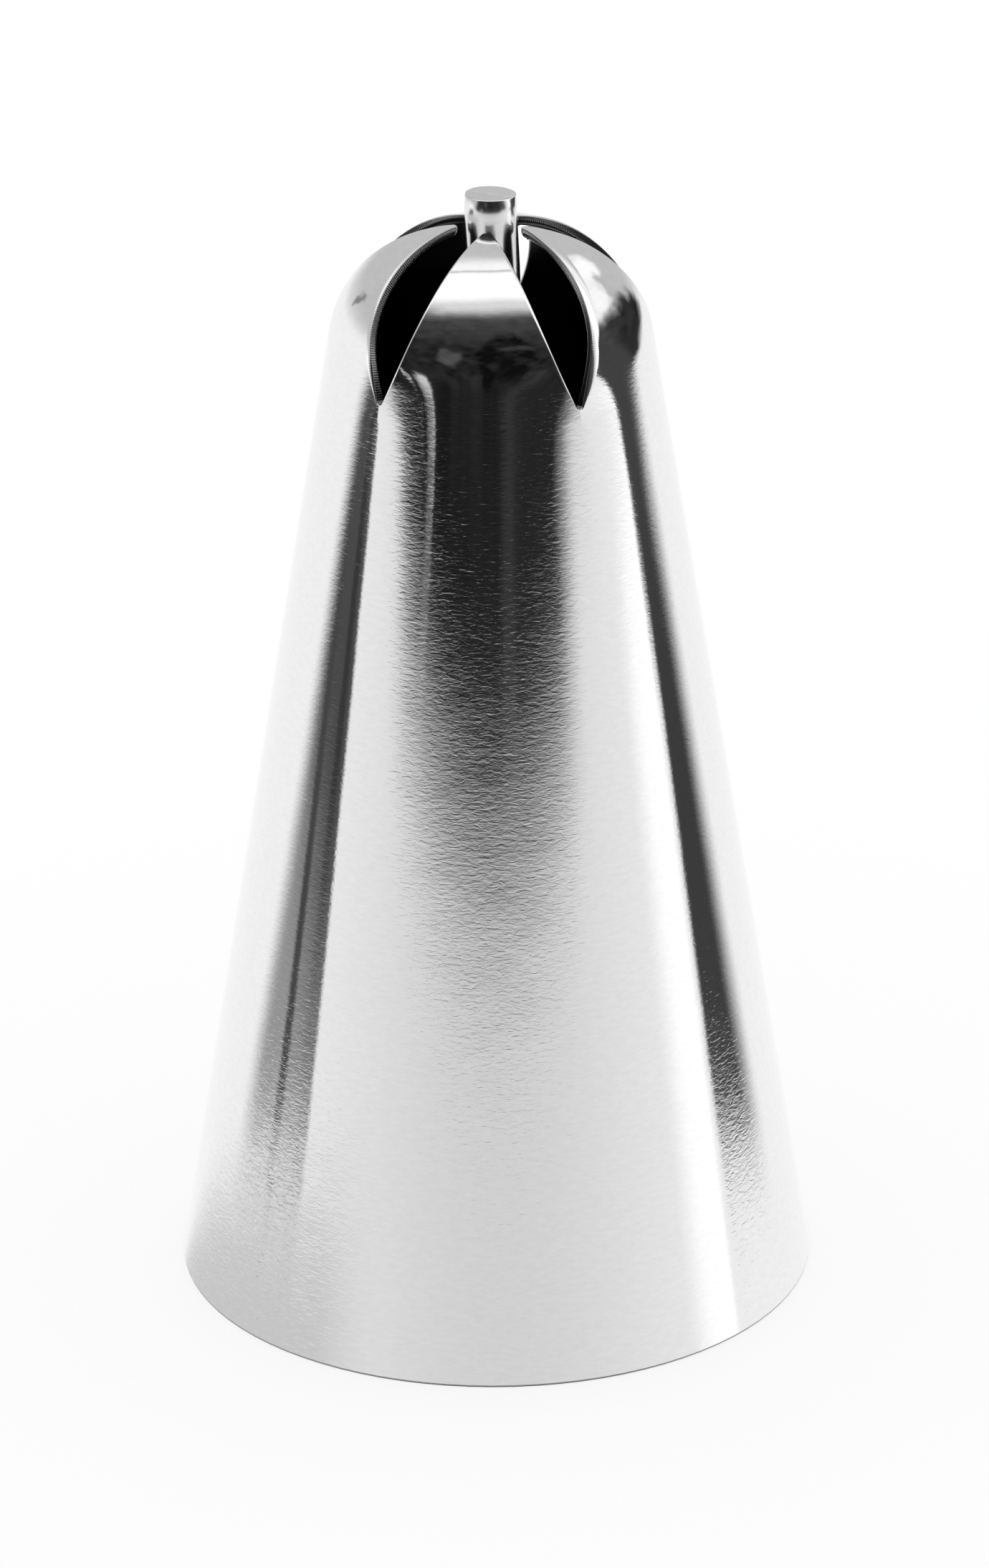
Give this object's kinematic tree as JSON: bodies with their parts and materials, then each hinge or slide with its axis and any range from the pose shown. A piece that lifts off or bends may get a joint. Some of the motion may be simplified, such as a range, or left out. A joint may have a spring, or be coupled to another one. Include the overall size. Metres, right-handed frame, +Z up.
{
  "type": "piping nozzle",
  "caption": "Conical stainless steel drop-flower piping nozzle with inward-bent petals round a centre pin carried by a welded cross bar.",
  "frame": {"origin": "centre of the base circle, on the plane that the rim rests on", "axes": "+Z up along the cone's axis, towards the petals; the middle of one petal faces -Y; the cross bar runs along X"},
  "size_m": [0.018, 0.018, 0.0313],
  "materials": {
    "shell_steel": "bright drawn stainless sheet, polished, with fine marks round the cone",
    "pin_steel": "bright stainless wire, cut square at its end",
    "weld_steel": "dull weld bead with slight heat tint"
  },
  "bodies": {
    "root": {"nozzle_shell": "shell_steel", "center_pin": "pin_steel", "cross_bar": "pin_steel", "bar_welds": "weld_steel", "pin_weld": "weld_steel"}
  },
  "joints": []
}
